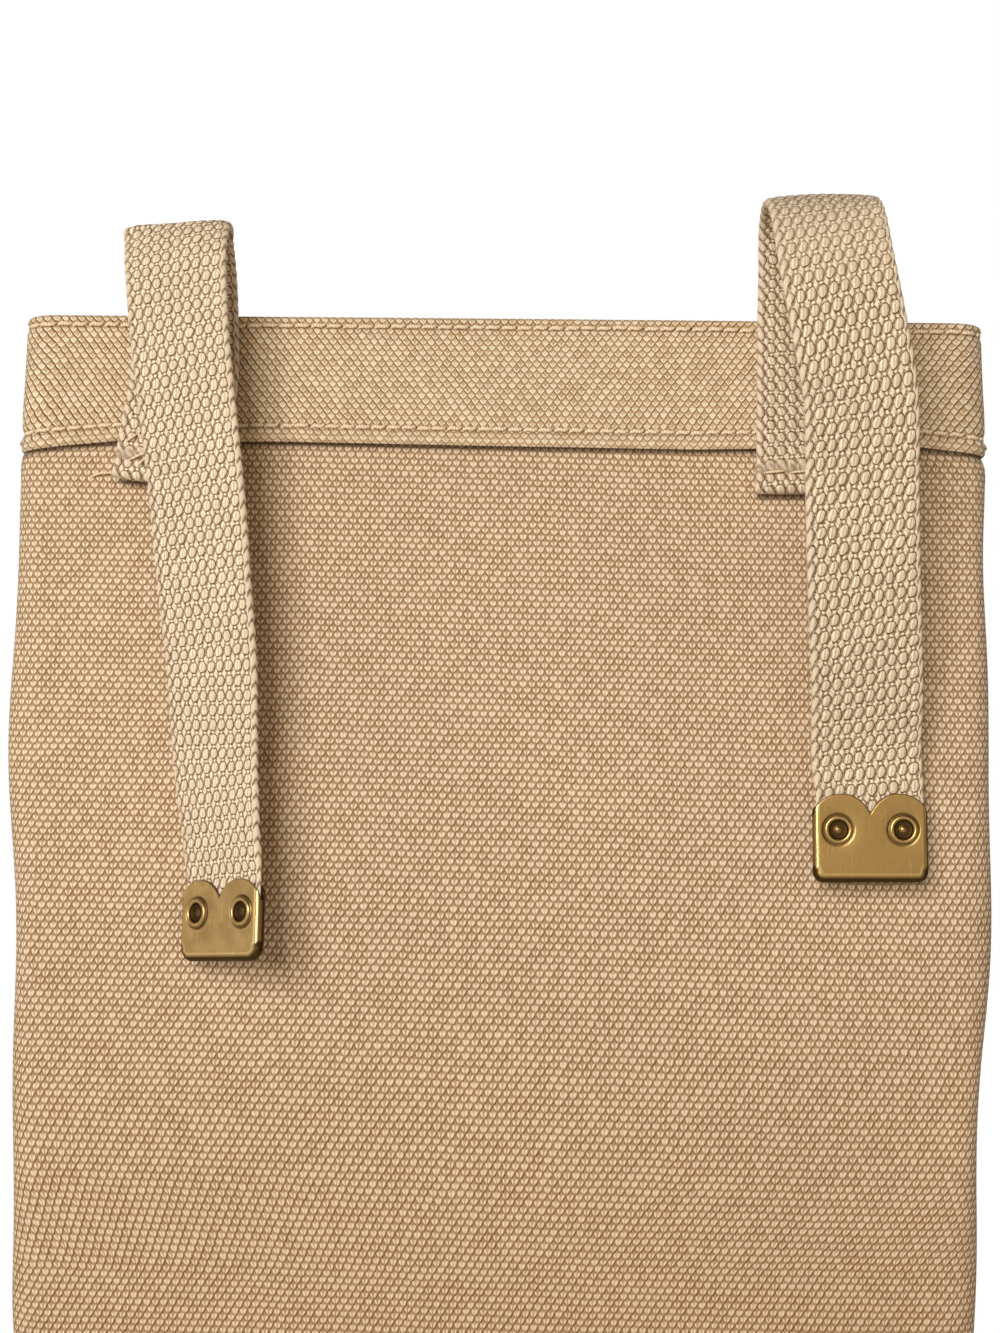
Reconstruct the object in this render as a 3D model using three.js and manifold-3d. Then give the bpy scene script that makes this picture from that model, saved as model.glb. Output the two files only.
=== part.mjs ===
// A canvas military pack: a soft open-mouthed body in a lapped base, with a turned-over hem round the mouth
// and two webbing straps that are sewn to the front, loop up over the rim and end in riveted brass tips.
// Millimetres, +Z up. The front faces -Y and the origin is the middle of the base on the floor.
import * as THREE from "three";
import { mergeVertices } from "three/addons/utils/BufferGeometryUtils.js";
import Module from "manifold-3d";

const wasm = await Module();
wasm.setup();

// Driving dimensions.
const INCH = 25.4;
const PACK_HEIGHT = 11.5 * INCH;
const CLOTH = 1.5;
const SEAT = 0.3;
const EDGE_RADIUS = 7;

// Outline of the body from the foot up: outside width, front and back faces,
// outward bow of those faces and inward tuck of the sides.
const BODY_SECTIONS = [
  { z: 2.1, width: 222.6, front: -29.0, back: 29.0, bow: 0.6, tuck: 0.4 },
  { z: 18, width: 226.8, front: -30.8, back: 30.8, bow: 1.0, tuck: 1.2 },
  { z: 50, width: 230.2, front: -32.2, back: 32.0, bow: 1.6, tuck: 2.6 },
  { z: 90, width: 232.8, front: -32.6, back: 32.2, bow: 2.0, tuck: 4.0 },
  { z: 135, width: 234.4, front: -32.4, back: 31.4, bow: 2.0, tuck: 5.0 },
  { z: 184, width: 235.2, front: -31.4, back: 29.0, bow: 1.8, tuck: 5.4 },
  { z: 222, width: 234.6, front: -30.0, back: 25.6, bow: 1.4, tuck: 5.0 },
  { z: 251, width: 233.4, front: -28.6, back: 22.0, bow: 1.0, tuck: 4.0 },
  { z: 262, width: 230.0, front: -28.0, back: 20.4, bow: 0.8, tuck: 3.2 },
  { z: 276, width: 229.4, front: -27.2, back: 18.6, bow: 0.7, tuck: 2.6 },
  { z: 290.2, width: 228.6, front: -26.4, back: 17.0, bow: 0.6, tuck: 2.0 },
];
const POINTS = { front: 14, corner: 4, side: 7, back: 12 };

// Hem: the cloth folded outwards over the rim, a little lower at the four upright edges.
const HEM_DEPTH = 30.4;
const HEM_FLARE = 0.5;
const HEM_DIP = 2.2;
const HEM_DIP_FROM = 0.9;
const RIM_ROUND = 1.2;

// Base: a shallow tray of cloth lapped over the foot of the body.
const BASE_LAP = 18;
const BASE_ROUND = 3;

// Straps: one-inch webbing, its edges rounded by a share of its thickness, pressed thinner inside the tip.
const WEB_WIDTH = INCH;
const WEB_THICK = 2.4;
const WEB_EDGE = 0.27;
const TIP_WEB_WIDTH = 24.4;
const TIP_WEB_THICK = 1.2;
const SEWN_OFF = CLOTH + HEM_FLARE + 2 * SEAT + WEB_THICK / 2;
const PRESS_RUN = 4;
const TURNED_UNDER = 7;
const STRAP_STEPS = 60;

// Middle line of each strap from its sewn end, over the rim and down to the mouth of its tip: off is the
// distance in front of the cloth, turn swings the right edge forwards and lean raises it, both in degrees.
const LEFT_STRAP = [
  { x: -79.8, z: 251.2, off: SEWN_OFF, turn: 0, lean: -6 },
  { x: -78.4, z: 262, off: SEWN_OFF, turn: 0, lean: -6 },
  { x: -76.1, z: 276, off: SEWN_OFF, turn: 0, lean: -4 },
  { x: -75.5, z: 290, off: SEWN_OFF, turn: 1, lean: -1 },
  { x: -75.6, z: 302, off: 5.0, turn: 5, lean: 0 },
  { x: -75.9, z: 310.5, off: 11.0, turn: 12, lean: 0.5 },
  { x: -75.7, z: 303, off: 16.8, turn: 17, lean: 2 },
  { x: -74.9, z: 288, off: 17.6, turn: 21, lean: 5 },
  { x: -72.8, z: 268.8, off: 16.6, turn: 24, lean: 4 },
  { x: -70.1, z: 245, off: 15.2, turn: 25, lean: 4 },
  { x: -68.5, z: 227, off: 13.8, turn: 26, lean: 4 },
  { x: -66.9, z: 209, off: 12.2, turn: 29, lean: 4 },
  { x: -66.2, z: 186, off: 10.2, turn: 34, lean: 6 },
  { x: -64.4, z: 160, off: 11.0, turn: 41, lean: 9 },
];
const RIGHT_STRAP = [
  { x: 72.9, z: 250.4, off: SEWN_OFF, turn: 0, lean: 0 },
  { x: 72.9, z: 262, off: SEWN_OFF, turn: 0, lean: 0 },
  { x: 73.0, z: 276, off: SEWN_OFF, turn: 0, lean: 0 },
  { x: 73.1, z: 290, off: SEWN_OFF, turn: 0, lean: 1 },
  { x: 73.1, z: 302, off: 4.8, turn: 0, lean: 2 },
  { x: 73.0, z: 311.8, off: 9.4, turn: 0, lean: 3 },
  { x: 72.8, z: 316, off: 18.8, turn: 0, lean: 2.5 },
  { x: 73.2, z: 311.4, off: 28.2, turn: 0, lean: 4 },
  { x: 74.6, z: 299.5, off: 33.2, turn: 0, lean: 6 },
  { x: 77.5, z: 283.5, off: 34.0, turn: 0, lean: 8 },
  { x: 80.2, z: 269.5, off: 30.6, turn: 0, lean: 5 },
  { x: 81.3, z: 249, off: 26.2, turn: 0, lean: 3 },
  { x: 82.3, z: 227, off: 22.8, turn: 0, lean: 3 },
  { x: 84.5, z: 203, off: 15.4, turn: 0, lean: 2 },
  { x: 85.9, z: 180, off: 8.2, turn: 1, lean: 0 },
];

// Brass tips: folded sheet round the end of the webbing, with two lobes and a notch along the upper edge.
const BRASS = 0.6;
const TIP_SEAT = 0.2;
const TIP_WIDTH = 26;
const TIP_LENGTH = 19.6;
const TIP_SHOULDER = 16.2;
const TIP_NOTCH = 15.6;
const TIP_LOBE_PULL = 2.8;
const TIP_LOBE_RISE = 2;
const TIP_CLEAR = 1;
const TIP_CORNER = 2.2;
const TIP_BEVEL = 0.7;
const TIP_THICK = TIP_WEB_THICK + 2 * TIP_SEAT + 2 * BRASS;
const TIP_RUN = TIP_LENGTH + TIP_CLEAR - BRASS - TIP_SEAT;

// Hollow rivets through the tips: half the spacing of the pair and the height above the lower edge.
const RIVET_OUT = 7.6;
const RIVET_UP = 12;
const RIVET_BORE = 2.3;
const RIVET_SHANK = 2.6;
const RIVET_RIM = 3.4;
const RIVET_BEAD = 0.7;
const RIVET_HEAD = 0.5;
const RIVET_SINK = 0.9;
const RIVET_DOME = 0.6;
const RIVET_SIDES = 14;
const RIVET_CLEAR = 0.15;

const CANVAS = new THREE.MeshStandardMaterial({ color: 0xc4a67f, roughness: 0.92, metalness: 0 });
const WEBBING = new THREE.MeshStandardMaterial({ color: 0xd0b38c, roughness: 0.9, metalness: 0 });
const OLD_BRASS = new THREE.MeshStandardMaterial({ color: 0x9c7d45, roughness: 0.42, metalness: 1 });

// Value of one column of a table at a fractional row, on a smooth curve through the rows.
function column(table, key, at) {
  const last = table.length - 1;
  const row = Math.min(Math.floor(at), last - 1);
  const share = at - row;
  const values = [-1, 0, 1, 2].map((step) => table[THREE.MathUtils.clamp(row + step, 0, last)][key]);
  const rise = (values[2] - values[0]) / 2;
  const fall = (values[3] - values[1]) / 2;
  const change = values[2] - values[1];
  const square = 3 * change - 2 * rise - fall;
  const cube = rise + fall - 2 * change;
  return values[1] + share * (rise + share * (square + share * cube));
}

// Body section at a height, held at the first and last rows outside the table.
function sectionAt(z) {
  const last = BODY_SECTIONS.length - 1;
  const height = THREE.MathUtils.clamp(z, BODY_SECTIONS[0].z, BODY_SECTIONS[last].z);
  const row = BODY_SECTIONS.findLastIndex((section, index) => section.z <= height && index < last);
  const at = row + (height - BODY_SECTIONS[row].z) / (BODY_SECTIONS[row + 1].z - BODY_SECTIONS[row].z);
  const keys = ["width", "front", "back", "bow", "tuck"];
  return Object.fromEntries(keys.map((key) => [key, column(BODY_SECTIONS, key, at)]));
}

// Front face of the body cloth at a place across and up the panel.
function clothFace(x, z) {
  const section = sectionAt(z);
  const flat = section.width / 2 - EDGE_RADIUS;
  return section.front - section.bow * (1 - (x / flat) ** 2);
}

// Outline of the body at a height, moved outwards by an offset: bowed faces, tucked sides and round edges.
function outline(z, offset) {
  const { width, front, back, bow, tuck } = sectionAt(z);
  const flat = width / 2 - EDGE_RADIUS;
  const deep = (back - front) / 2 - EDGE_RADIUS;
  const middle = (back + front) / 2;
  const points = [];
  const add = (x, y) => points.push(new THREE.Vector2(x, y));
  const corner = (x, y, quarter) => {
    for (let i = 0; i < POINTS.corner; i++) {
      const angle = (quarter + i / POINTS.corner) * (Math.PI / 2);
      add(x + EDGE_RADIUS * Math.cos(angle), y + EDGE_RADIUS * Math.sin(angle));
    }
  };
  const face = (count, sign, y) => {
    for (let i = 0; i < count; i++) {
      const share = (2 * i) / count - 1;
      add(-sign * share * flat, y + sign * bow * (1 - share * share));
    }
  };
  const side = (sign) => {
    for (let i = 0; i < POINTS.side; i++) {
      const share = (2 * i) / POINTS.side - 1;
      add(sign * (width / 2 - tuck * (1 - share * share)), middle + sign * share * deep);
    }
  };
  face(POINTS.front, -1, front);
  corner(flat, middle - deep, -1);
  side(1);
  corner(flat, middle + deep, 0);
  face(POINTS.back, 1, back);
  corner(-flat, middle + deep, 1);
  side(-1);
  corner(-flat, middle - deep, 2);
  return points.map((point, i) => {
    const next = points[(i + 1) % points.length];
    const before = points[(i + points.length - 1) % points.length];
    const normal = next.clone().sub(before).normalize().rotateAround(new THREE.Vector2(), -Math.PI / 2);
    return normal.multiplyScalar(offset).add(point);
  });
}

// Ring of points round the body at a height and an offset from the cloth's outer face.
function ring(z, offset) {
  return outline(z, offset).map((point) => new THREE.Vector3(point.x, point.y, z));
}

// Closed surface through rings of equally many points. A hoop joins its last ring to its first,
// and any other run is closed by a fan at each end.
function skin(rings, hoop) {
  const count = rings[0].length;
  const points = rings.flat();
  const faces = [];
  const rows = hoop ? rings.length : rings.length - 1;
  for (let row = 0; row < rows; row++) {
    const start = row * count;
    const above = ((row + 1) % rings.length) * count;
    for (let i = 0; i < count; i++) {
      const j = (i + 1) % count;
      faces.push(start + i, start + j, above + j, start + i, above + j, above + i);
    }
  }
  const ends = hoop ? [] : [0, rings.length - 1];
  ends.forEach((row) => {
    const hub = points.length;
    points.push(rings[row].reduce((sum, point) => sum.add(point), new THREE.Vector3()).divideScalar(count));
    for (let i = 0; i < count; i++) {
      const edge = [row * count + i, row * count + ((i + 1) % count)];
      faces.push(hub, ...(row === 0 ? edge.reverse() : edge));
    }
  });
  return solid(new THREE.BufferGeometry().setFromPoints(points).setIndex(outward(points, faces)));
}

// Triangles turned so that the surface they close faces outwards.
function outward(points, faces) {
  let volume = 0;
  for (let i = 0; i < faces.length; i += 3) {
    const [a, b, c] = [points[faces[i]], points[faces[i + 1]], points[faces[i + 2]]];
    volume += a.dot(b.clone().cross(c));
  }
  return volume > 0 ? faces : faces.reverse();
}

function solid(geometry) {
  const bare = geometry.clone();
  const extra = Object.keys(bare.attributes).filter((name) => name !== "position");
  extra.forEach((name) => bare.deleteAttribute(name));
  const merged = mergeVertices(bare, 1e-4);
  const vertProperties = new Float32Array(merged.attributes.position.array);
  const triVerts = new Uint32Array(merged.index.array);
  return new wasm.Manifold(new wasm.Mesh({ numProp: 3, vertProperties, triVerts }));
}

function mesh(name, body, material) {
  const { vertProperties, triVerts } = body.getMesh();
  const geometry = new THREE.BufferGeometry();
  geometry.setAttribute("position", new THREE.BufferAttribute(new Float32Array(vertProperties), 3));
  geometry.setIndex(new THREE.BufferAttribute(new Uint32Array(triVerts), 1));
  geometry.computeVertexNormals();
  const piece = new THREE.Mesh(geometry, material);
  piece.name = name;
  return piece;
}

function bodyWall() {
  const heights = BODY_SECTIONS.map((section) => section.z);
  const outside = heights.map((z) => ring(z, 0));
  const inside = heights.map((z) => ring(z, -CLOTH)).reverse();
  return skin([...outside, ...inside], true);
}

// The hem's section goes up its outer face, over the rim, across the top of the wall and down its inner face.
function mouthHem() {
  const wallTop = BODY_SECTIONS.at(-1).z;
  const middle = BODY_SECTIONS.at(-2).z;
  const foot = PACK_HEIGHT - HEM_DEPTH;
  const outer = SEAT + CLOTH;
  const under = wallTop + SEAT;
  const dipped = (offset) => ring(foot, offset).map((point) => {
    const share = Math.abs(point.x) / (sectionAt(foot).width / 2);
    const dip = HEM_DIP * Math.min(1, Math.max(0, share - HEM_DIP_FROM) / (1 - HEM_DIP_FROM)) ** 2;
    return point.setZ(foot - dip);
  });
  return skin([
    dipped(outer + HEM_FLARE),
    ring(middle, outer),
    ring(PACK_HEIGHT - RIM_ROUND, outer),
    ring(PACK_HEIGHT, outer - RIM_ROUND),
    ring(PACK_HEIGHT, RIM_ROUND - CLOTH),
    ring(PACK_HEIGHT - RIM_ROUND, -CLOTH),
    ring(under, -CLOTH),
    ring(under, SEAT),
    ring(middle, SEAT),
    dipped(SEAT + HEM_FLARE / 2),
  ], true);
}

function basePanel() {
  const outer = SEAT + CLOTH;
  const chord = BASE_ROUND * (1 - Math.SQRT1_2);
  return skin([
    ring(0, outer - BASE_ROUND),
    ring(chord, outer - chord),
    ring(BASE_ROUND, outer),
    ring(BASE_LAP, outer),
    ring(BASE_LAP, SEAT),
    ring(CLOTH, SEAT),
  ], false);
}

// Frames along a strap: its middle, the direction along it, the direction across it, its outer face and the
// length run so far. The last stretch is straight and lies inside the tip.
function strapFrames(stations) {
  const points = stations.map(({ x, z, off }) => new THREE.Vector3(x, clothFace(x, z) - off, z));
  const curve = new THREE.CatmullRomCurve3(points);
  const frames = Array.from({ length: STRAP_STEPS + 1 }, (_, step) => {
    const share = step / STRAP_STEPS;
    const middle = curve.getPointAt(share);
    const along = curve.getTangentAt(share);
    const at = curve.getUtoTmapping(share) * (stations.length - 1);
    const turn = THREE.MathUtils.degToRad(column(stations, "turn", at));
    const lean = THREE.MathUtils.degToRad(column(stations, "lean", at));
    const across = new THREE.Vector3(Math.cos(turn) * Math.cos(lean), -Math.sin(turn), Math.sin(lean));
    across.addScaledVector(along, -across.dot(along)).normalize();
    return { middle, along, across, face: across.clone().cross(along), run: share * curve.getLength() };
  });
  const mouth = frames.at(-1);
  const end = mouth.middle.clone().addScaledVector(mouth.along, TIP_RUN);
  return [...frames, { ...mouth, middle: end, run: mouth.run + TIP_RUN }];
}

// Ribbon with round edges through a list of frames, between two heights on its face.
function ribbon(frames, width, low, high) {
  return skin(frames.map((frame) => {
    const half = width(frame) / 2;
    const [bottom, top] = [low(frame), high(frame)];
    const edge = WEB_EDGE * (top - bottom);
    const profile = [
      [-half, bottom + edge], [edge - half, bottom], [half - edge, bottom], [half, bottom + edge],
      [half, top - edge], [half - edge, top], [edge - half, top], [-half, top - edge],
    ];
    return profile.map(([side, rise]) =>
      frame.middle.clone().addScaledVector(frame.across, side).addScaledVector(frame.face, rise));
  }), false);
}

// Strap with its lower end pressed to fit the tip, its sewn end turned under, and holes for the rivets.
function strap(frames, tip) {
  const mouth = frames.at(-2).run;
  const pressed = ({ run }) => THREE.MathUtils.smoothstep(run, mouth - PRESS_RUN, mouth);
  const width = (frame) => THREE.MathUtils.lerp(WEB_WIDTH, TIP_WEB_WIDTH, pressed(frame));
  const thick = (frame) => THREE.MathUtils.lerp(WEB_THICK, TIP_WEB_THICK, pressed(frame));
  const web = ribbon(frames, width, (frame) => -thick(frame) / 2, (frame) => thick(frame) / 2);
  const lapped = frames.filter(({ run }) => run <= TURNED_UNDER);
  const under = ribbon(lapped, () => WEB_WIDTH - 2 * SEAT, () => SEAT - SEWN_OFF, () => 0);
  const holes = rivetPlaces().map((place) => rivetHole(place).applyMatrix4(tip));
  return holes.reduce((body, hole) => body.subtract(solid(hole)), web.add(under));
}

function rivetPlaces() {
  return [-1, 1].map((side) => new THREE.Vector2(side * RIVET_OUT, RIVET_UP));
}

function rivetHole(place) {
  const radius = RIVET_SHANK + SEAT;
  const shaft = new THREE.CylinderGeometry(radius, radius, 3 * TIP_THICK, RIVET_SIDES);
  return shaft.rotateX(Math.PI / 2).translate(place.x, place.y, 0);
}

// Place of a tip on the straight end of a strap: x across it, y up it and z out of its front.
function tipPlace(frames) {
  const { middle, along, across } = frames.at(-1);
  const up = along.clone().negate();
  const foot = middle.clone().addScaledVector(along, BRASS + TIP_SEAT);
  return new THREE.Matrix4().makeBasis(across, up, across.clone().cross(up)).setPosition(foot);
}

function tipOutline() {
  const half = TIP_WIDTH / 2;
  const shape = new THREE.Shape();
  shape.moveTo(TIP_CORNER - half, 0);
  shape.lineTo(half - TIP_CORNER, 0);
  shape.quadraticCurveTo(half, 0, half, TIP_CORNER);
  shape.lineTo(half, TIP_SHOULDER);
  shape.bezierCurveTo(half, TIP_LENGTH, TIP_LOBE_PULL, TIP_LENGTH + TIP_LOBE_RISE, 0, TIP_NOTCH);
  shape.bezierCurveTo(-TIP_LOBE_PULL, TIP_LENGTH + TIP_LOBE_RISE, -half, TIP_LENGTH, -half, TIP_SHOULDER);
  shape.lineTo(-half, TIP_CORNER);
  shape.quadraticCurveTo(-half, 0, TIP_CORNER - half, 0);
  return shape;
}

function brassTip() {
  const sheet = new THREE.ExtrudeGeometry(tipOutline(), {
    depth: TIP_THICK - 2 * TIP_BEVEL,
    curveSegments: 7,
    bevelThickness: TIP_BEVEL,
    bevelSize: TIP_BEVEL,
    bevelOffset: -TIP_BEVEL,
    bevelSegments: 2,
  });
  const room = 2 * TIP_SEAT;
  const pocket = new THREE.BoxGeometry(TIP_WEB_WIDTH + room, TIP_LENGTH, TIP_WEB_THICK + room);
  const cap = solid(sheet.translate(0, 0, TIP_BEVEL - TIP_THICK / 2));
  const hollow = cap.subtract(solid(pocket.translate(0, TIP_LENGTH / 2 + BRASS, 0)));
  return rivetPlaces().reduce((body, place) => body.subtract(solid(rivetHole(place))), hollow);
}

// Hollow rivet about its own axis: a plain head behind, a rolled rim in front and a domed floor in its bore.
function rivet() {
  const seat = TIP_THICK / 2 + RIVET_CLEAR;
  const floor = TIP_THICK / 2 - RIVET_SINK;
  const round = RIVET_BEAD / 2;
  const profile = [
    [0, -seat - RIVET_HEAD],
    [RIVET_RIM - RIVET_HEAD, -seat - RIVET_HEAD],
    [RIVET_RIM, -seat],
    [RIVET_SHANK, -seat],
    [RIVET_SHANK, seat],
    [RIVET_RIM, seat],
    [RIVET_RIM, seat + round],
    [RIVET_RIM - round, seat + RIVET_BEAD],
    [RIVET_BORE + round, seat + RIVET_BEAD],
    [RIVET_BORE, seat + round],
    [RIVET_BORE, floor],
    [RIVET_BORE / 2, floor],
    [RIVET_BORE / 3, floor + RIVET_DOME - RIVET_CLEAR],
    [0, floor + RIVET_DOME],
  ].map(([radius, out]) => new THREE.Vector2(radius, out));
  return solid(new THREE.LatheGeometry(profile, RIVET_SIDES).rotateX(Math.PI / 2));
}

const pack = new THREE.Group();
pack.name = "military_rucksack";
pack.add(mesh("body_wall", bodyWall(), CANVAS));
pack.add(mesh("mouth_hem", mouthHem(), CANVAS));
pack.add(mesh("base_panel", basePanel(), CANVAS));

Object.entries({ left: LEFT_STRAP, right: RIGHT_STRAP }).forEach(([side, stations]) => {
  const frames = strapFrames(stations);
  const place = tipPlace(frames);
  pack.add(mesh(`strap_${side}`, strap(frames, place), WEBBING));
  const tip = mesh(`tip_${side}`, brassTip(), OLD_BRASS);
  tip.applyMatrix4(place);
  pack.add(tip);
  rivetPlaces().forEach((spot, index) => {
    const pin = mesh(`rivet_${side}_${index === 0 ? "a" : "b"}`, rivet(), OLD_BRASS);
    pin.applyMatrix4(place.clone().multiply(new THREE.Matrix4().makeTranslation(spot.x, spot.y, 0)));
    pack.add(pin);
  });
});

export default pack;
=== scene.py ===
import math

import bpy
import numpy as np
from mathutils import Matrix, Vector


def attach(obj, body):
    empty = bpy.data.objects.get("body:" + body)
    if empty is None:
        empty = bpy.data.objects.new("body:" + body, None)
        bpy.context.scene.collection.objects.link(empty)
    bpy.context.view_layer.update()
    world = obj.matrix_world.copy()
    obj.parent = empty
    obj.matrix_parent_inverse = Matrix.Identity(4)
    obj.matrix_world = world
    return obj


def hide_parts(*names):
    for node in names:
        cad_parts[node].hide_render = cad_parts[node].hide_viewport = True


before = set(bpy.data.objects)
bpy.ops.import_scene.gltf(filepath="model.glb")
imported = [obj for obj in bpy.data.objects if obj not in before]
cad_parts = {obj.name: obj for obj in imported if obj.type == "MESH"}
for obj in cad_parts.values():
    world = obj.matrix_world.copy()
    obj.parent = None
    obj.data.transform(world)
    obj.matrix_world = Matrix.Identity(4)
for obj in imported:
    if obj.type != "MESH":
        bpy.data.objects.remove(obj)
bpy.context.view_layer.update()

# Sizes in millimetres, as in the part's source.
MM = 0.001
RIM = 292.1
CLOTH = 1.5
SEAT = 0.3
EDGE_RADIUS = 7.0
BODY_FOOT, BODY_TOP = 2.1, 290.2
HEM_DEPTH = 30.4
FOOT = RIM - HEM_DEPTH
HEM_FLARE = 0.5
BASE_LAP = 18.0
BASE_ROUND = 3.0
WEB_THICK = 2.4
SEWN_OFF = CLOTH + HEM_FLARE + 2 * SEAT + WEB_THICK / 2
TIP_HALF = 13.0
TIP_LENGTH = 19.6
TIP_THICK = 2.8
TIP_RUN = 19.8
TIP_LIP = 0.8
TIP_HOLD = 16.2
RIVET_OUT = 7.6
RIVET_UP = 12.0
# Points along the front or back of a ring round the body, along a side and round a corner.
FACE_POINTS, SIDE_POINTS, CORNER_POINTS = 110, 28, 8
# Step between the rings of a strap.
STRAP_STEP = 0.42
# Canvas: a pebble's width, the height of its cell and the step between rows.
PEBBLE_WIDE, PEBBLE_TALL = 2.0, 2.86
PEBBLE_ROW = PEBBLE_TALL / 2
# Webbing: steps across and along it, where its strands start, where its edge cords begin, an oval's half sizes.
WEB_STEP, WEB_ROW, WEB_START, WEB_CORD = 2.54, 4.07, 9.6, 11.9
OVAL_WIDE, OVAL_TALL = 1.02, 1.44
# Half the width of a strap's flat part, and of the whole strap.
WEB_FLAT, WEB_HALF = 11.95, 12.7
# Rows of stitches round the hem, with height, pitch wanted and seed.
HEM_ROWS = ((RIM - 2.3, 3.9, 3), (FOOT + 3.9, 3.7, 4))
HEM_TOP_ROW, HEM_LOW_ROW = (row[0] for row in HEM_ROWS)
# Length on the hem's weave map for each millimetre up it.
HEM_SCALE = 1.11
# Rows of stitches round the base, with height and seed.
BASE_ROWS = ((13.6, 5), (9.0, 6))


def table(names, *rows):
    """Rows of numbers as one array for each named column."""
    return dict(zip(names.split(), np.array(rows, float).T))


BODY = table(
    "z width front back bow tuck",
    (BODY_FOOT, 222.6, -29.0, 29.0, 0.6, 0.4), (18, 226.8, -30.8, 30.8, 1.0, 1.2),
    (50, 230.2, -32.2, 32.0, 1.6, 2.6), (90, 232.8, -32.6, 32.2, 2.0, 4.0), (135, 234.4, -32.4, 31.4, 2.0, 5.0),
    (184, 235.2, -31.4, 29.0, 1.8, 5.4), (222, 234.6, -30.0, 25.6, 1.4, 5.0),
    (251, 234.0, -28.6, 22.0, 1.0, 4.0), (257.5, 233.8, -28.2, 21.0, 0.9, 3.5),
    (262, 230.4, -28.0, 20.4, 0.8, 3.2), (276, 229.4, -27.2, 18.6, 0.7, 2.6),
    (BODY_TOP, 228.6, -26.4, 17.0, 0.6, 2.0),
)
LEFT_STRAP = table(
    "x z off turn lean",
    (-79.8, 251.2, SEWN_OFF, 0, -6), (-78.4, 262, SEWN_OFF, 0, -6), (-76.1, 276, SEWN_OFF, 0, -4),
    (-76.2, 290, SEWN_OFF, 1, -1), (-76.5, 302, 5.0, 5, 0), (-76.6, 311.2, 11.0, 12, 2.2),
    (-76.3, 303, 16.8, 17, 2), (-75.4, 288, 17.6, 20, 5), (-73.2, 268.8, 16.6, 23, 4), (-70.5, 245, 15.2, 24, 4),
    (-68.9, 227, 13.8, 26, 4), (-67.2, 209, 12.2, 29, 4), (-66.2, 186, 10.2, 34, 6), (-63.7, 160, 11.0, 41, 9),
)
RIGHT_STRAP = table(
    "x z off turn lean",
    (72.9, 250.4, SEWN_OFF, 0, 0), (72.9, 262, SEWN_OFF, 0, 0), (73.0, 276, SEWN_OFF, 0, 0),
    (73.1, 290, SEWN_OFF, 0, 1), (73.1, 302, 4.8, 0, 2), (72.5, 312.7, 9.4, 0, 2), (72.1, 317.1, 18.8, 0, 1.6),
    (72.4, 312.3, 28.2, 0, 3.4), (73.8, 300, 33.2, 0, 6), (76.9, 283.5, 34.0, 0, 8), (79.8, 269.5, 30.6, 0, 5),
    (80.9, 249, 26.2, 0, 3), (82.1, 227, 22.0, 0, 3), (84.4, 204, 13.6, 0, 2), (85.4, 189, 7.4, 0, 1),
    (86.3, 180, 6.6, 0, 0),
)
# How tall and how wide the weave's pebbles are at heights up the body.
WEAVE = table(
    "z tall wide",
    (0, 1.5, 2.0), (66, 1.62, 2.04), (87, 1.74, 2.2), (106, 1.72, 2.24), (125, 1.66, 2.19),
    (163, 1.58, 2.12), (200, 1.48, 2.06), (234, 1.44, 2.05), (292, 1.43, 2.04),
)
# How far the hem's lower edge hangs below its mean height at places across the front.
HEM_EDGE = table(
    "x drop",
    (-116, 2.6), (-106, 1.3), (-90, -0.2), (-50, -0.1), (0, 0.5),
    (45, 0.9), (80, 0.1), (98, -0.4), (106, 0.5), (116, 1.5),
)


# Numbers and surfaces.
def smooth(value, low, high):
    """Rises from 0 at low to 1 at high on a cubic that is level at both ends."""
    share = np.clip((value - low) / (high - low), 0, 1)
    return share * share * (3 - 2 * share)


def hump(distance, width):
    """Bell of height 1: e to the power of minus the squared distance in widths."""
    return np.exp(-(distance / width) ** 2)


def unit(vectors):
    """Vectors divided by their lengths."""
    return vectors / np.linalg.norm(vectors, axis=-1, keepdims=True)


def dome(*parts):
    """Height of a round pebble: the root of 1 less the sum of the squared parts, or 0 outside it."""
    return np.sqrt(np.clip(1 - sum(part * part for part in parts), 0, 1))


def cell(value, pitch):
    """Distance from the middle of the cell of a given pitch that a value falls in."""
    return (value / pitch - np.floor(value / pitch) - 0.5) * pitch


def column(rows, name, at):
    """Column at fractional rows, on cubics whose slope at a row is half the step between its neighbours."""
    values = rows[name]
    last = len(values) - 1
    row = np.clip(np.floor(at).astype(int), 0, last - 1)
    share = at - row
    before, here, there, after = (values[np.clip(row + step, 0, last)] for step in (-1, 0, 1, 2))
    rise, fall, change = (there - before) / 2, (after - here) / 2, there - here
    return here + share * (rise + share * (3 * change - 2 * rise - fall + share * (rise + fall - 2 * change)))


def section(name, z):
    """Column of the body's table at heights, held at the first and last rows beyond it."""
    return column(BODY, name, np.interp(z, BODY["z"], np.arange(len(BODY["z"]))))


def cloth_face(x, z):
    """Front of the body cloth: the front plane less a bow that falls as the square of the way to the edge."""
    flat = section("width", z) / 2 - EDGE_RADIUS
    return section("front", z) - section("bow", z) * (1 - (x / flat) ** 2)


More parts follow.
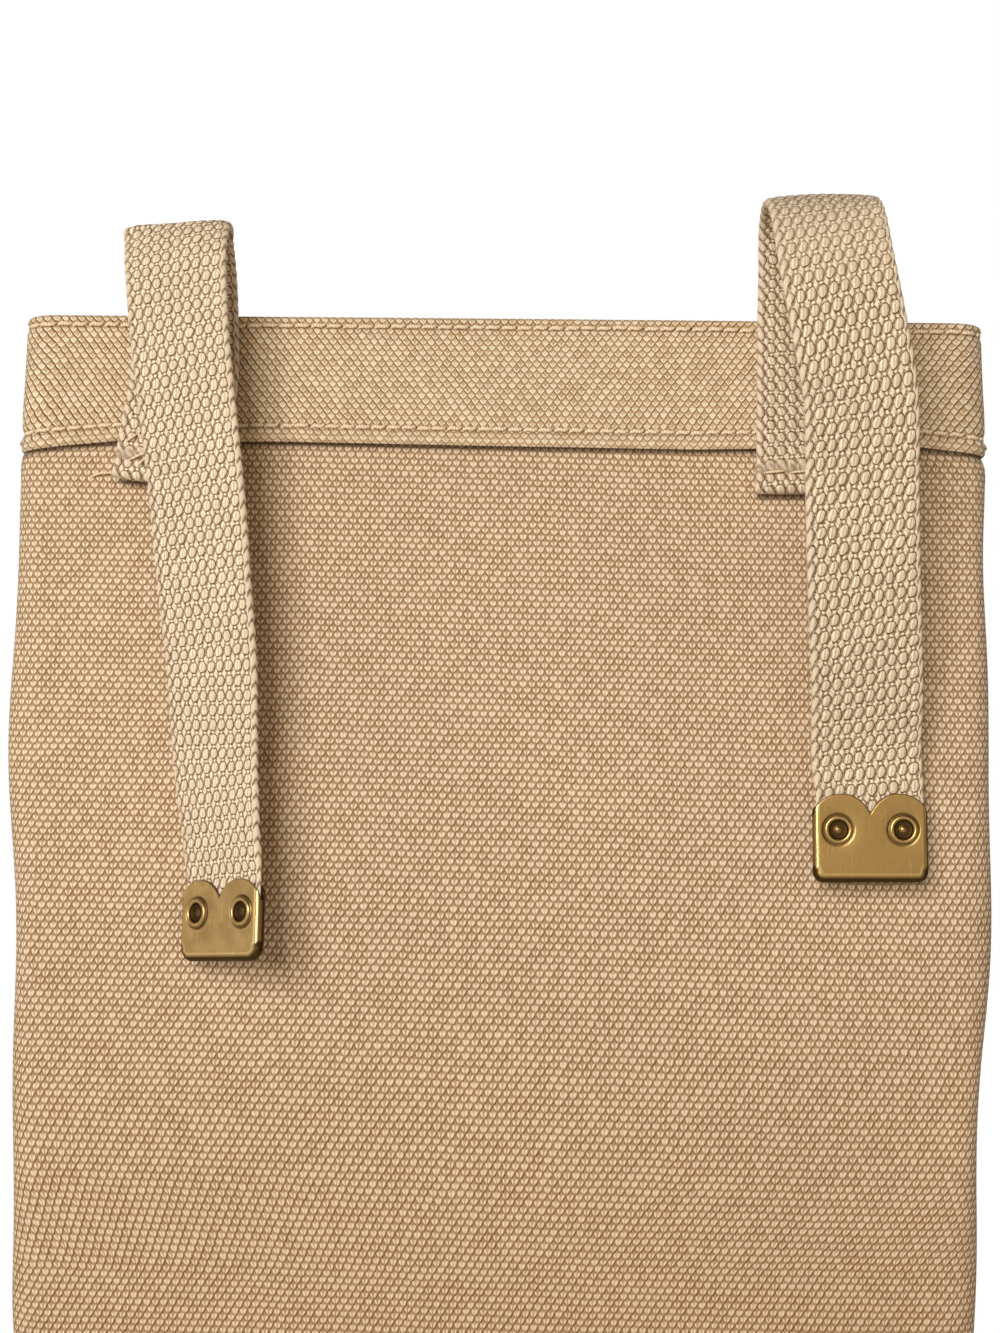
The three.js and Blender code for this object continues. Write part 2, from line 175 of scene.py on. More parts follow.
def round_body(z):
    """Outline of the body at each height with its outward normals: bowed faces, tucked sides, quarter circles."""
    names = ("width", "front", "back", "bow", "tuck")
    width, front, back, bow, tuck = (section(name, z)[:, None] for name in names)
    half, middle = width / 2, (front + back) / 2
    flat, deep = half - EDGE_RADIUS, (back - front) / 2 - EDGE_RADIUS
    s = np.linspace(-1, 1, FACE_POINTS, endpoint=False)[None]
    t = np.linspace(-1, 1, SIDE_POINTS, endpoint=False)[None]
    a = np.linspace(0, np.pi / 2, CORNER_POINTS, endpoint=False)[None]
    cos, sin = EDGE_RADIUS * np.cos(a), EDGE_RADIUS * np.sin(a)
    x = [s * flat, flat + sin, half - tuck * (1 - t * t), flat + cos,
         -s * flat, -flat - sin, tuck * (1 - t * t) - half, -flat - cos]
    y = [front - bow * (1 - s * s), middle - deep - cos, middle + t * deep, middle + deep + sin,
         back + bow * (1 - s * s), middle + deep + cos, middle - t * deep, middle - deep - sin]
    x, y = np.concatenate(x, 1), np.concatenate(y, 1)
    dx, dy = np.roll(x, -1, 1) - np.roll(x, 1, 1), np.roll(y, -1, 1) - np.roll(y, 1, 1)
    size = np.hypot(dx, dy)
    return x, y, dy / size, -dx / size


def slack(x, nx, ny, z):
    """Unevenness of the standing cloth: long crossing waves, faint in front, fuller behind and at the sides."""
    front = 0.28 * np.sin(x / 29 + 0.8) * np.sin(z / 37 + 0.4) + 0.2 * np.sin(x / 47 - z / 31) - 0.2
    back = 1.1 * np.sin(x / 31 + z / 90) * np.sin(z / 44 + 0.7) + 0.8 * np.sin(x / 19 - z / 57)
    side = 0.9 * np.sin(z / 23 + 0.9 * np.sign(nx)) + 0.5 * np.sin(z / 11.5 + 2 * np.sign(nx))
    free = smooth(z, 16, 60) * (1 - smooth(z, 222, 260))
    return free * (np.clip(-ny, 0, 1) * front + np.clip(ny, 0, 1) * back + np.abs(nx) ** 3 * side)


def wall(z, offset, sag=0.0):
    """Rings of points round the body at heights, moved outwards by an offset, with heights lowered by a sag."""
    x, y, nx, ny = round_body(z)
    out = offset + slack(x, nx, ny, z[:, None])
    return np.stack([x + nx * out, y + ny * out, z[:, None] - sag + 0 * x], -1)


def round_length():
    """Length round the body at mid height from the middle of the front, stretched to whole weave cells."""
    x, y = (part[0] for part in round_body(np.array([150.0]))[:2])
    steps = np.hypot(np.diff(x, append=x[0]), np.diff(y, append=y[0]))
    run = np.concatenate([[0], np.cumsum(steps)])
    front = np.interp(0, x[:FACE_POINTS], run[:FACE_POINTS])
    return (run - front) * PEBBLE_WIDE * round(run[-1] / PEBBLE_WIDE) / run[-1]


ROUND = round_length()
AROUND = ROUND[-1] - ROUND[0]
TURN = 2 * math.pi / AROUND


def stitch_pitch(wanted):
    """Pitch near the wanted one that goes a whole number of times round the body."""
    return AROUND / int(AROUND / wanted)


def cloth_map(z):
    """Weave map of the body: lengths round it and up it, drawn together where the pebbles are larger than their
    usual size."""
    fine = np.linspace(0, 300, 601)
    steps = PEBBLE_ROW / np.interp(fine, WEAVE["z"], WEAVE["tall"]) * 0.5
    up = np.interp(z, fine, np.cumsum(steps) - steps[0])[:, None]
    swing = np.sin(ROUND * TURN)[None] / TURN
    spread = 1 - PEBBLE_WIDE / np.interp(z, WEAVE["z"], WEAVE["wide"])[:, None]
    return np.stack([ROUND[None] - spread * swing, up + 0.02 * swing], -1)


def hem_drop(x):
    """Drop of the hem's lower edge below its mean height, by place across the pack."""
    return np.interp(x, HEM_EDGE["x"], HEM_EDGE["drop"])


def on_body(u, z, offset):
    """Points and outward normals at lengths round the body, a height and an offset from the cloth."""
    ring = [np.append(part[0], part[0][0]) for part in round_body(np.array([float(np.mean(z))]))]
    x, y, nx, ny = (np.interp((u - ROUND[0]) % AROUND + ROUND[0], ROUND, part) for part in ring)
    place = np.stack([x + nx * offset, y + ny * offset, z + 0 * x], -1)
    return place, np.stack([nx, ny, 0 * nx], -1)


# Meshes.
def added(name, data):
    """An object with its data, linked to the scene at the origin."""
    made = bpy.data.objects.new(name, data)
    bpy.context.scene.collection.objects.link(made)
    return made


def skin(rings, hoop=False, weave=None, **layers):
    """Closed surface through rings of equally many points: the last ring joins the first, or fans close the ends."""
    rings = rings[None] if rings.ndim == 3 else rings
    lots, rows, count = rings.shape[:3]
    weave = np.zeros((rows + 1, count + 1, 2)) if weave is None else weave
    points = rings.reshape(-1, 3)
    index = np.arange(len(points)).reshape(lots, rows, count)
    tall = np.concatenate([index, index[:, :1]], 1) if hoop else index
    full = np.concatenate([tall, tall[:, :, :1]], 2)
    flat = weave[:full.shape[1]]
    faces = [(
        np.stack([full[:, :-1, :-1], full[:, :-1, 1:], full[:, 1:, 1:], full[:, 1:, :-1]], -1),
        np.stack([flat[:-1, :-1], flat[:-1, 1:], flat[1:, 1:], flat[1:, :-1]], -2),
    )]
    layers = {name: np.broadcast_to(layer, (lots, rows, count)).ravel() for name, layer in layers.items()}
    if not hoop:
        hubs = np.stack([rings[:, 0].mean(1), rings[:, -1].mean(1)], 1).reshape(-1, 3)
        first = len(points) + np.arange(2 * lots).reshape(lots, 2)
        low = np.stack([first[:, :1] + 0 * full[:, 0, 1:], full[:, 0, 1:], full[:, 0, :-1]], -1)
        high = np.stack([first[:, 1:] + 0 * full[:, -1, 1:], full[:, -1, :-1], full[:, -1, 1:]], -1)
        faces.append((low, np.stack([flat[0, 1:], flat[0, 1:], flat[0, :-1]], -2)))
        faces.append((high, np.stack([flat[-1, 1:], flat[-1, :-1], flat[-1, 1:]], -2)))
        points = np.concatenate([points, hubs])
        for name, layer in layers.items():
            layers[name] = np.concatenate([layer, np.repeat(layer.reshape(lots, -1)[:, :1], 2, 1).ravel()])
    return outward(points, faces, layers)


def outward(points, faces, layers):
    """Surface of points, lists of faces with their weave maps, and layers. Its faces are turned so that it encloses a
    positive volume, summed over the triangles from each face's first corner."""
    ready, volume = [], 0
    for face, weave in faces:
        weave = np.broadcast_to(weave, face.shape + (2,)).reshape(-1, face.shape[-1], 2)
        face = face.reshape(-1, face.shape[-1])
        corners = points[face]
        for k in range(1, face.shape[1] - 1):
            volume += np.sum(corners[:, 0] * np.cross(corners[:, k], corners[:, k + 1]))
        ready.append((face, weave))
    way = 1 if volume > 0 else -1
    return {"points": points, "faces": [(face[:, ::way], weave[:, ::way]) for face, weave in ready], "layers": layers}


def piece(name, skins, finish, slot, *nodes):
    """One object from closed skins, with its weave map, layers and finish, that rides on the pack and stands for its
    nodes."""
    starts = np.cumsum([0] + [len(one["points"]) for one in skins])
    faces = [(face + start).tolist() for one, start in zip(skins, starts) for face, _ in one["faces"]]
    points = np.concatenate([one["points"] for one in skins])
    mesh = bpy.data.meshes.new(name)
    mesh.from_pydata((points * MM).tolist(), [], sum(faces, []))
    mesh.shade_smooth()
    maps = [weave.reshape(-1, 2) for one in skins for _, weave in one["faces"]]
    mesh.uv_layers.new(name="weave").uv.foreach_set("vector", np.concatenate(maps).astype(np.float32).ravel())
    for layer in skins[0]["layers"]:
        values = np.concatenate([one["layers"][layer] for one in skins]).astype(np.float32)
        mesh.attributes.new(layer, "FLOAT", "POINT").data.foreach_set("value", values)
    mesh.materials.append(finish)
    made = added(name, mesh)
    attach(made, "root")
    if nodes:
        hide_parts(*nodes)
    return made


def threads(paths, out, radius, sides=6):
    """Round threads along many paths of equally many points: circles across each path, thinner at the ends."""
    along = unit(np.gradient(paths, axis=1))
    side = unit(np.cross(along, out))
    rise = np.cross(side, along)
    angle = np.linspace(0, 2 * np.pi, sides, endpoint=False)
    share = np.linspace(0, 1, paths.shape[1])
    girth = radius * (0.45 + 0.55 * np.sin(np.pi * share) ** 0.4)
    ring = np.cos(angle)[:, None] * side[:, :, None] + np.sin(angle)[:, None] * rise[:, :, None]
    run = np.linalg.norm(np.diff(paths[0], axis=0), axis=-1).sum() * share
    weave = np.stack(np.meshgrid(np.linspace(0, 1, sides + 1), run), -1)
    return skin(paths[:, :, None] + girth[:, None, None] * ring, weave=weave)


def row_of_stitches(wanted, height, offset, seed, slant=0.8, radius=0.34, sink=0.5):
    """Stitches round the body: short arcs that rise out of the cloth and slant a little, one pitch apart, sunk
    deeper at the sides."""
    pitch = stitch_pitch(wanted)
    count = round(AROUND / pitch)
    rng = np.random.default_rng(seed)
    share = np.linspace(0, 1, 9)
    start = ROUND[0] + pitch * np.arange(count)[:, None]
    u = start + 0.1 + share * (pitch - 0.1) + rng.normal(0, 0.08, (count, 1))
    tilt = ((share - 0.5) + 0.3 * np.sin(2 * np.pi * share)) * slant * rng.uniform(0.3, 1.5, (count, 1))
    bow = radius * (1.5 * np.sin(np.pi * share) ** 0.5 - 0.9)
    flat, out = on_body(u, height, offset)
    path = flat + out * (bow - sink * out[..., 0] ** 4)[..., None]
    path[..., 2] += tilt + rng.normal(0, 0.06, (count, 1))
    return path, out, radius


# Materials.
def tone(red, green, blue):
    """A screen colour from 0 to 255 as linear light."""
    return tuple(((part / 255 + 0.055) / 1.055) ** 2.4 for part in (red, green, blue)) + (1.0,)


def maths(operation, turned=False):
    """Method that adds a Math node of an operation, with its values turned round for a reflected form."""

    def method(self, *others):
        values = (*others, self) if turned else (self, *others)
        return self.node("Math", {"operation": operation}, dict(enumerate(values)))

    return method


class Yarn:
    """A socket of a material: arithmetic on it adds Math nodes to the same tree."""

    __add__ = __radd__ = maths("ADD")
    __sub__, __rsub__ = maths("SUBTRACT"), maths("SUBTRACT", True)
    __mul__ = __rmul__ = maths("MULTIPLY")
    __truediv__, __abs__ = maths("DIVIDE"), maths("ABSOLUTE")
    fract, floor, sine = maths("FRACT"), maths("FLOOR"), maths("SINE")
    power, most = maths("POWER"), maths("MAXIMUM")

    def __init__(self, tree, socket=None):
        self.tree, self.socket = tree, socket

    def node(self, kind, settings, sockets, out=0):
        """Adds a node of a type, applies its settings, then fills its sockets with values or links."""
        made = self.tree.nodes.new("ShaderNode" + kind)
        for name, value in settings.items():
            setattr(made, name, value)
        for key, value in sockets.items():
            if isinstance(value, Yarn):
                self.tree.links.new(value.socket, made.inputs[key])
            else:
                made.inputs[key].default_value = value
        return Yarn(self.tree, made.outputs[out])

    def other(self, out):
        """Another output of the same node."""
        return Yarn(self.tree, self.socket.node.outputs[out])

    def between(self, low, high):
        """Rises smoothly from 0 at low to 1 at high."""
        return self.node("MapRange", {"interpolation_type": "SMOOTHSTEP"}, {0: self, 1: low, 2: high})

    def blend(self, first, second):
        """Colour that goes from the first to the second as this value goes from 0 to 1."""
        return self.node("Mix", {"data_type": "RGBA"}, {0: self, 6: first, 7: second}, 2)

    def times(self, colour):
        """Colour scaled by this value."""
        return self.node("VectorMath", {"operation": "SCALE"}, {0: colour, "Scale": self})

    def cell(self, pitch):
        """Distance from the middle of the cell of a given pitch that this value falls in."""
        return (self / pitch).fract() * pitch - pitch / 2

    def chance(self, second):
        """Two random values for each pair of whole numbers."""
        pair = self.node("CombineXYZ", {}, {0: self, 1: second})
        odd = self.node("TexWhiteNoise", {"noise_dimensions": "2D"}, {"Vector": pair})
        return odd, odd.other(1).apart()

    def apart(self):
        """First part of this vector, with the second as the next output."""
        return self.node("SeparateXYZ", {}, {0: self})

    def weave(self):
        """Place on the piece's own weave map."""
        return self.node("UVMap", {"uv_map": "weave"}, {})

    def layer(self, name):
        """Value of one of the mesh's layers."""
        return self.node("Attribute", {"attribute_name": name}, {}, 2)

    def bump(self, strength, depth):
        """Normal turned by this height, where 1 stands a depth in millimetres above 0."""
        return self.node("Bump", {}, {"Strength": strength, "Distance": depth * MM, "Height": self})

    def noise(self, scale, detail=2.0, rough=0.5):
        """Cloudy noise over this place, with its colour as the second output."""
        return self.node("TexNoise", {}, {"Vector": self, "Scale": scale, "Detail": detail, "Roughness": rough})


def finish_of(name, constants, shade, *details):
    """Material of a shader with constant sockets and the varying ones that a function gives for some details."""
    made = bpy.data.materials.new(name)
    made.use_nodes = True
    tree = made.node_tree
    tree.nodes.clear()
    shader = Yarn(tree).node("BsdfPrincipled", {}, {**constants, **shade(Yarn(tree), *details)})
    shader.node("OutputMaterial", {}, {0: shader}, slice(0, 0))
    return made


def cloth_place(yarn, drift):
    """Lengths across and up the cloth in millimetres, drifting a little as handmade weave does."""
    place = yarn.weave()
    broad, fine = (place.noise(scale, 1.0).other(1).apart() for scale in (0.1, 0.42))
    flat = place.apart()
    across, up = (
        flat.other(k) + (broad.other(k) - 0.5) * drift + (fine.other(k) - 0.5) * (drift * 0.75) for k in (0, 1)
    )
    return place, across, up


def canvas_weave(yarn, lean_of, stroke_of):
    """Staggered pebbles, each like a heart: two bright strokes that meet at its foot, a duller middle and dark lines
    between. The strokes have a spread, a slope, a half width, a drop below the pebble's middle and a bias to the side
    that leads. Lean gives rising or falling strokes and lines the upper hand: it has a level, a fall for each
    millimetre up, a swing round the body and the scale of its patches."""
    place, u, v = cloth_place(yarn, 0.6)
    p, q = u / PEBBLE_WIDE + v / PEBBLE_TALL, u / PEBBLE_WIDE - v / PEBBLE_TALL
    left, right = p.fract() - 0.5, q.fract() - 0.5
    x, y = left + right, (left - right) * PEBBLE_ROW
    odd, other = p.floor().chance(q.floor())
    level, fall, swing, patch = lean_of
    lean = level - place.apart().other(1) * fall + (u * TURN).sine() * swing
    lean = lean + (place.noise(patch, 1.0) - 0.5) * 0.6
    spread, slope, half, drop, bias = stroke_of
    over, up, low = (abs(x) - y * slope - spread) / half, (y + drop) / 0.68, (y + 0.08) / 0.76
    leading = (x * lean).between(-0.5, 0.5) * bias + (0.95 - bias / 2)
    stroke = (1 - over * over - up * up).most(0.0).power(0.5) * leading
    middle = (1 - x * x / 0.7 - low * low).most(0.0).power(0.5) * (other * 0.22 + 0.06)
    pebble = stroke.most(middle)
    climbs = (1 - (0.5 - abs(right)).between(0.0, 0.21)) * (lean * 0.4 + 0.6)
    falls = (1 - (0.5 - abs(left)).between(0.0, 0.21)) * (0.6 - lean * 0.4)
    between = 1 - abs((v / PEBBLE_ROW).fract() - 0.5) * 2
    return place, pebble, climbs.most(falls), between, odd


def canvas_shade(yarn, tones, lean_of, stroke_of, ribbed, foot_shade_strength, holes):
    """Woven cotton cloth: dark lines, ground and bright strokes by the pebble's height, darker between the rows,
    mottled in broad patches and darkened towards its foot and to one side by painted shade of a given strength, with
    needle holes at a height, a pitch and a start. A layer of the mesh adds painted shade where positive and a painted
    highlight where negative."""
    deep, ground, bright = tones
    place, pebble, line, between, odd = canvas_weave(yarn, lean_of, stroke_of)
    worn = place.noise(0.018, 3.0, 0.6)
    fibre = place.noise(3.2, 2.0, 0.7)
    flat = place.apart()
    level = pebble * 0.6 + 0.54 - line * (0.6 - pebble * 0.32) - between * ribbed
    level = level + (odd - 0.5) * 0.12 + (fibre - 0.5) * 0.45
    # Painted shade where the layer is positive, a painted highlight that evens the weave where it is negative.
    seam = yarn.layer("seam")
    level = level + (0.72 - level) * (0 - seam).most(0.0)
    low = level.between(-0.05, 0.45).blend(deep, ground)
    colour = level.between(0.4, 1.0).blend(low, bright)
    shadow = seam.most(0.0) * 0.4
    for height, pitch, start in holes:
        beside, above = (flat + (pitch / 2 - start)).cell(pitch), flat.other(1) - height
        shadow = shadow.most((1 - beside * beside / 0.3 - above * above / 0.22).between(0.0, 0.7) * 0.75)
    relief = pebble - line * 0.3 + (fibre - 0.5) * 0.4 + (odd - 0.5) * 0.2
    # Painted shade: darker towards the foot and more to one side of the round.
    foot_shade = (1 - flat.other(1).between(-60.0, 190.0)) * ((flat * TURN).sine() * (0.2 * foot_shade_strength) + foot_shade_strength)
    foot_shaded_colour = yarn.node("VectorMath", {"operation": "MULTIPLY"}, {0: colour, 1: (0.78, 0.71, 0.63)})
    wear = (worn - 0.5) * 0.13 + 0.96
    colour = shadow.blend(wear.times(foot_shade.blend(colour, foot_shaded_colour)), tone(62, 40, 18))
    return {"Base Color": colour, "Roughness": 0.97 - pebble * 0.1, "Normal": relief.bump(0.5, 0.35)}


def pebble_of(across, along, wide, tall):
    """Height of an oval pebble in its cell: 1 in the middle, falling to 0 at its edge."""
    return 1 - (across * across / wide ** 2 + along * along / tall ** 2)


def webbing_shade(yarn, tilt, pale, rubbed):
    """Cotton webbing: rows of ovals at a tilt, ringed by dark lines that painted shade makes strongest on the right,
    with knots and dots on a grainy ground between them and slanting cords along the edges. Each oval has a painted
    highlight on its lit side and painted shade on its right, most a crease.
    Near a sewn end the made relief takes over, and where the strap bends over the top its pattern is rubbed."""
    place = yarn.weave()
    made, sewn, bent = (yarn.layer(name) for name in ("relief", "sewn", "bent"))
    stray, flat = place.noise(0.35, 2.0, 0.6).other(1).apart(), place.apart()
    a, rise = flat + (stray - 0.5) * 0.8, flat.other(1) + (stray.other(1) - 0.5) * 1.3
    start = a + (WEB_START + WEB_STEP / 2)
    strand, link = start.cell(WEB_STEP), (a + WEB_START).cell(WEB_STEP)
    tall, between = rise.cell(WEB_ROW), (rise + WEB_ROW / 2).cell(WEB_ROW)
    odd, other = (start / WEB_STEP).floor().chance((rise / WEB_ROW).floor())
    turned = strand + tall * (other * 0.12 + (tilt - 0.06))
    oval = pebble_of(turned, tall, OVAL_WIDE, OVAL_TALL)
    knot = 1 - abs(link + between * 0.1) / 0.72 - abs(between) / 1.7
    dot = pebble_of(strand, between, 0.4, 0.42)
    crease = (0.22 - abs(turned + 0.04)).between(0.0, 0.22) * oval.between(0.05, 0.5) * odd.between(0.1, 0.5)
    # Painted highlight on the left of each oval; painted shade on its right and lower side darkens its ring.
    lit = (0.4 - abs(turned + 0.42)).between(0.0, 0.4) + (0.3 - abs(turned - 0.34)).between(0.0, 0.3) * 0.5
    ring = 1 - abs(oval + 0.1).between(0.0, 0.34)
    shaded_side = (turned * 0.9 + tall * 0.25).between(-0.8, 0.7)
    body = lit * 0.3 + (0.59 + pale * 2) - crease * 0.26 + (other - 0.5) * 0.16
    # Painted shade on the right of each oval.
    body = body - turned.between(0.1, 0.8) * 0.12
    grain = place.noise(1.6, 2.0, 0.6) - 0.5
    ground = (knot.between(0.0, 0.4) * 0.6).most(dot.between(0.0, 0.5) * 0.7) + (0.19 + pale) + grain * 1.5
    field = ground + (body - ground) * oval.between(0.0, 0.2) - ring * (shaded_side * 0.5 + 0.1)
    cord = (rise / WEB_ROW + a * 0.5).fract()
    edge = (0.5 - abs(cord - 0.5)).between(0.02, 0.26) * 0.62 + 0.14
    inside = (a + WEB_CORD).between(-0.15, 0.15) * (WEB_CORD - a).between(-0.15, 0.15)
    level = edge + (field - edge) * inside
    level = level + (0.64 - level) * bent * rubbed
    level = level + (made * 0.5 + 0.2 - level) * sewn
    fibre = yarn.node("Mapping", {}, {0: place, "Scale": (4.5, 1.1, 1.0)}).noise(1.0, 2.0, 0.6)
    worn = place.noise(0.05, 2.0)
    colour = (level + (fibre - 0.5) * 0.65).blend(tone(110, 77, 42), tone(255, 233, 201))
    wear = (worn - 0.5) * 0.14 + 1.0
    height = oval.most(0.0).power(0.5).most(knot.most(0.0).power(0.5) * 0.6).most(dot.most(0.0) * 0.6)
    relief = height * (1 - sewn) * inside + made * sewn + fibre * 0.35 - crease * 0.4
    return {"Base Color": wear.times(colour), "Normal": relief.bump(0.5, 0.32)}


def thread_shade(yarn):
    """Sewing thread: pale tan with a twist that winds round it."""
    flat = yarn.weave().apart()
    twist = ((flat + flat.other(1) * 1.4) * (2 * math.pi)).sine() * 0.5 + 0.5
    colour = twist.blend(tone(222, 190, 149), tone(252, 233, 200))
    return {"Base Color": colour, "Normal": twist.bump(0.4, 0.1)}


def brass_shade(yarn, clear, dull):
    """Old brass: a clear and a dull tone in blotches, dark hollows by age and painted shade on the shaded bevels,
    worn bright edges with painted highlights, and fine scratches.
    """
    place = yarn.node("TexCoord", {}, {}, 3)
    age = yarn.layer("age")
    blotch = place.noise(190.0, 4.0, 0.62)
    grain = place.noise(1500.0, 2.0, 0.6)
    turned = yarn.node("Mapping", {}, {0: place, "Rotation": (0.3, 0.5, 0.7), "Scale": (2600.0, 90.0, 160.0)})
    scratch = turned.noise(1.0, 1.0).between(0.63, 0.72)
    clean = blotch.between(0.35, 0.72).blend(clear, dull)
    # Negative values: worn edges and painted highlights; positive: patina and painted shade.
    worn = (0 - age).between(0.05, 0.5)
    colour = worn.blend(age.between(0.05, 1.0).blend(clean, tone(74, 55, 27)), tone(240, 208, 138))
    level = 0.97 + (grain - 0.5) * 0.16 + scratch * 0.14
    rough = 0.36 + (blotch - 0.5) * 0.2 + age.between(0.0, 1.0) * 0.2 - scratch * 0.06 - worn * 0.1
    bump = (grain + scratch * 0.6).bump(0.25, 0.05)
    return {"Base Color": level.times(colour), "Roughness": rough, "Normal": bump}


def floor_shade(yarn):
    """Pale studio floor."""
    cloud = yarn.node("TexCoord", {}, {}, 3).noise(3.0)
    return {"Base Color": cloud.blend(tone(238, 238, 237), tone(242, 242, 241))}


BODY_TONES = (tone(126, 90, 52), tone(188, 155, 117), tone(249, 225, 194))
HEM_TONES = (tone(104, 71, 38), tone(194, 158, 115), tone(255, 241, 211))
BODY_LEAN, BODY_STROKES = (0.75, 0.0032, 0.0, 0.03), (0.45, 0.31, 0.26, 0.02, 0.3)
HEM_LEAN, HEM_STROKES = (-0.08, 0.0, 0.8, 0.04), (0.57, 0.64, 0.2, 0.2, 0.6)
NEEDLE_HOLES = [((height - FOOT) * HEM_SCALE, stitch_pitch(wanted), ROUND[0]) for height, wanted, _ in HEM_ROWS]
COTTON = {"Sheen Weight": 0.05, "Sheen Roughness": 0.5, "Specular IOR Level": 0.15}
WEBBING, BRASS = {**COTTON, "Roughness": 0.95}, {"Metallic": 1.0}
BODY_CLOTH = finish_of("body_canvas", COTTON, canvas_shade, BODY_TONES, BODY_LEAN, BODY_STROKES, 0.13, 1.0, ())
HEM_CLOTH = finish_of("hem_canvas", COTTON, canvas_shade, HEM_TONES, HEM_LEAN, HEM_STROKES, 0.02, 0.0, NEEDLE_HOLES)
LEFT_WEBBING = finish_of("left_strap_webbing", WEBBING, webbing_shade, 0.12, 0.055, 0.08)
RIGHT_WEBBING = finish_of("right_strap_webbing", WEBBING, webbing_shade, 0.2, 0.02, 0.32)
THREAD = finish_of("sewing_thread", {"Roughness": 0.8, "Specular IOR Level": 0.25}, thread_shade)
LEFT_BRASS = finish_of("left_tip_brass", BRASS, brass_shade, tone(199, 166, 110), tone(180, 148, 96))
RIGHT_BRASS = finish_of("right_tip_brass", BRASS, brass_shade, tone(186, 152, 94), tone(170, 138, 84))


# The body.
def pack_cloth():
    """Rings go up the outer face from foot to rim, closer together by the hem's lower edge, and back down the inner
    face. A layer of painted shade on the outer face is a bell about the hem's lower edge and about the lower edges of
    the sewn straps."""
    up = np.concatenate([
        np.linspace(BODY_FOOT, 244, 100), np.linspace(244.6, 264, 33), np.linspace(266, BODY_TOP, 9),
    ])
    down = np.linspace(BODY_TOP, BODY_FOOT, 44)
    rings = np.concatenate([wall(up, 0.0), wall(down, -CLOTH)])
    weave = cloth_map(np.concatenate([up, down, [BODY_FOOT]]))
    x, y, z = (rings[..., k] for k in range(3))
    seam = 1.9 * hump(z - FOOT + hem_drop(x) + 0.4, 0.75)
    for rows in (LEFT_STRAP, RIGHT_STRAP):
        beside = x - rows["x"][0]
        edge = rows["z"][0] + beside * math.tan(math.radians(rows["lean"][0]))
        sewn = (1 - smooth(np.abs(beside), 11.5, 13.0)) * (y < 0)
        seam = np.maximum(seam, sewn * 1.7 * hump(z - edge + 0.4, 0.7))
    seam[len(up):] = 0
    return piece("pack_cloth", [skin(rings, True, weave, seam=seam)], BODY_CLOTH, "canvas", "body_wall")


# The hem: up its outer face from a soft fold, over the rim, and down inside the fold.
def hem_face(z):
    """Offset of the hem's outer face: the cloth's thickness, a flare at the foot and a dent along each seam."""
    flare = HEM_FLARE * np.clip((276 - z) / (276 - FOOT), 0, 1)
    low = 0.6 * hump(z - HEM_LOW_ROW, 0.9) - 0.45 * hump(z - HEM_LOW_ROW + 2.1, 1.2)
    top = 0.4 * hump(z - HEM_TOP_ROW, 0.9)
    return SEAT + CLOTH + flare - low - top


def hem_band():
    """Ring rows follow a closed line of heights and offsets; the lower rows hang by the hem's own drop."""
    fold = np.linspace(np.pi, 2 * np.pi, 13)
    thick, tall = (CLOTH + HEM_FLARE / 2) / 2, 1.7
    inside = SEAT + HEM_FLARE / 2
    face = np.linspace(FOOT + tall + 0.2, RIM - 1.5, 64)
    bend = np.linspace(0, np.pi / 2, 6)
    round_off = RIM - 1.2 + 1.2 * np.sin(bend)
    z = np.concatenate([FOOT + tall + tall * np.sin(fold), face, round_off, round_off[::-1],
                        [RIM - 1.6, RIM - 1.6], np.linspace(RIM - 3, FOOT + tall + 0.5, 12)])
    off = np.concatenate([inside + thick + thick * np.cos(fold), hem_face(face), 0.6 + 1.2 * np.cos(bend),
                          -0.3 - 1.2 * np.cos(bend[::-1]), [-CLOTH, SEAT], np.full(12, SEAT + 0.02)])
    x, nx = (round_body(z)[part] for part in (0, 2))
    hang = hem_drop(x) * (1 - smooth(z, FOOT, FOOT + 15))[:, None]
    drawn = 0.5 * nx ** 4 * (1 - smooth(z, FOOT, FOOT + 10))[:, None]
    pucker = 0.07 * np.sin(ROUND[:-1] * 2 * np.pi / 3.7) * hump(z - HEM_LOW_ROW, 2)[:, None]
    outer = (np.arange(len(z)) < len(fold) + len(face))[:, None]
    rings = wall(z, off[:, None] + outer * (pucker - drawn), hang)
    plain = np.isin(z[1:], face)
    run = np.concatenate([[0], np.cumsum(np.hypot(np.diff(z), np.where(plain, 0, np.diff(off))))])
    run = (run - run[len(fold)] + face[0] - FOOT) * HEM_SCALE
    weave = np.stack(np.meshgrid(ROUND, np.append(run, run[-1] + 1)), -1)
    # Painted shade just below each row of stitches; where negative, a painted highlight on the fold's lower edge.
    seam = 0.9 * hump(z - HEM_LOW_ROW + 0.3, 0.6) + 0.8 * hump(z - HEM_TOP_ROW + 0.3, 0.6)
    seam = outer * (seam - 0.3 * hump(z - FOOT - 1.2, 1.2))[:, None]
    return piece("hem_band", [skin(rings, True, weave, seam=seam)], HEM_CLOTH, "canvas", "mouth_hem")


def hem_stitches():
    """Two rows of thread round the hem, each riding in its dent and following the hem's drop."""
    rows = []
    for height, wanted, seed in HEM_ROWS:
        sink = 0.85 + 0.5 * (1 - smooth(height, FOOT, FOOT + 10))
        path, out, radius = row_of_stitches(wanted, height, hem_face(height) + 0.26, seed, 1.0, 0.5, sink)
        path[..., 2] -= hem_drop(path[..., 0]) * (1 - smooth(height, FOOT, FOOT + 15))
        rows.append(threads(path, out, radius))
    return piece("hem_stitches", rows, THREAD, "canvas")


